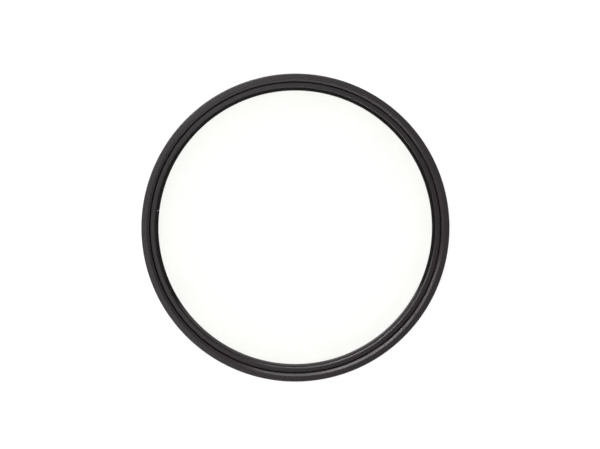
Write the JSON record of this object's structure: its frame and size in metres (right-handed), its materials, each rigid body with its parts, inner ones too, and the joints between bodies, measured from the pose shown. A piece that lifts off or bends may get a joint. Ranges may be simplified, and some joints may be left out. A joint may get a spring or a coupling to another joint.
{
  "type": "uv filter",
  "caption": "Screw-in ultraviolet filter for a camera lens: a black knurled ring with a male thread behind, a female thread in front and a clear glass held by a split spring ring.",
  "frame": {"origin": "on the optical axis, in the plane of the male thread's rear end face", "axes": "+Z along the optical axis, out of the front face and away from the lens; +X and +Y lie in the plane of the rear end face, and the split of the spring ring is near -X"},
  "size_m": [0.0802, 0.0802, 0.0068],
  "materials": {
    "mount": "black anodised, fine bead-blasted grain on turned faces",
    "glass": "polished, with an anti-reflection coating",
    "spring": "black oxide on drawn spring wire"
  },
  "bodies": {
    "root": {"mount_ring": "mount", "filter_glass": "glass", "spring_ring": "spring"}
  },
  "joints": []
}
